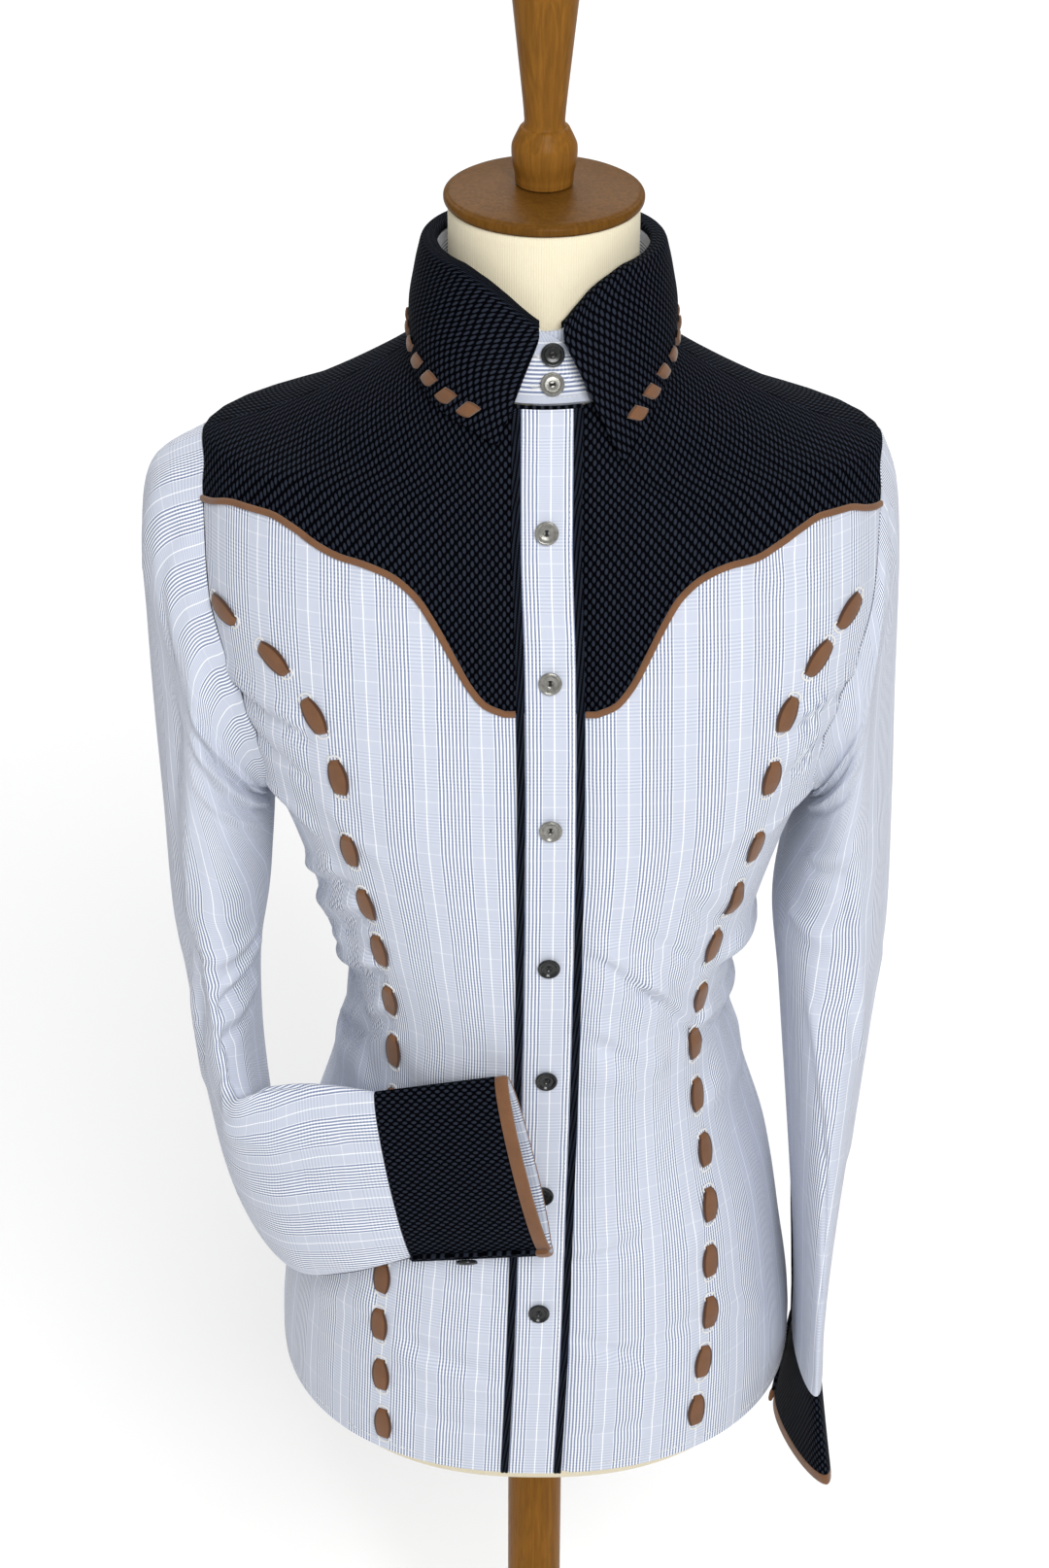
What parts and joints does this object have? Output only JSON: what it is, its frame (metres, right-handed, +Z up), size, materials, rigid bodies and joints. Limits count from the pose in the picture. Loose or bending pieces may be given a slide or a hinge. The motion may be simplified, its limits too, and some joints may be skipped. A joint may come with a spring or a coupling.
{
  "type": "western shirt on dress form",
  "caption": "Fitted long-sleeved western shirt with contrasting yokes, collar and cuffs, laced down both fronts, worn by a limbless dress form on a round wooden stand",
  "frame": {"origin": "on the floor at the centre of the round base, under the form's axis", "axes": "+Z up; the form faces -Y; +X is towards the wearer's left arm"},
  "size_m": [0.4109, 0.32, 1.3013],
  "materials": {
    "black_dobby": "matte",
    "plaid_cotton": "matte",
    "brown_suede": "matte",
    "smoky_shell": "gloss",
    "cream_linen": "matte",
    "dark_wood": "satin"
  },
  "bodies": {
    "root": {"yoke_back": "black_dobby", "yoke_front_left": "black_dobby", "yoke_front_right": "black_dobby", "collar": "black_dobby", "cuff_left": "black_dobby", "cuff_right": "black_dobby", "placket_trim_left": "black_dobby", "placket_trim_right": "black_dobby", "sleeve_placket_left": "black_dobby", "sleeve_placket_right": "black_dobby", "back": "plaid_cotton", "front_left": "plaid_cotton", "front_right": "plaid_cotton", "sleeve_left": "plaid_cotton", "sleeve_right_upper": "plaid_cotton", "sleeve_right_lower": "plaid_cotton", "placket": "plaid_cotton", "collar_stand": "plaid_cotton", "yoke_piping_back": "brown_suede", "yoke_piping_front_left": "brown_suede", "yoke_piping_front_right": "brown_suede", "lace_front_left": "brown_suede", "lace_front_right": "brown_suede", "lace_collar_left": "brown_suede", "lace_collar_right": "brown_suede", "cuff_binding_left": "brown_suede", "cuff_binding_right": "brown_suede", "button_1": "smoky_shell", "button_2": "smoky_shell", "button_3": "smoky_shell", "button_4": "smoky_shell", "button_5": "smoky_shell", "button_6": "smoky_shell", "button_7": "smoky_shell", "stand_button_1": "smoky_shell", "stand_button_2": "smoky_shell", "cuff_button_left": "smoky_shell", "cuff_button_right": "smoky_shell", "form_torso": "cream_linen", "form_neck_cap": "dark_wood", "form_finial": "dark_wood", "form_pole": "dark_wood", "form_base": "dark_wood"}
  },
  "joints": []
}
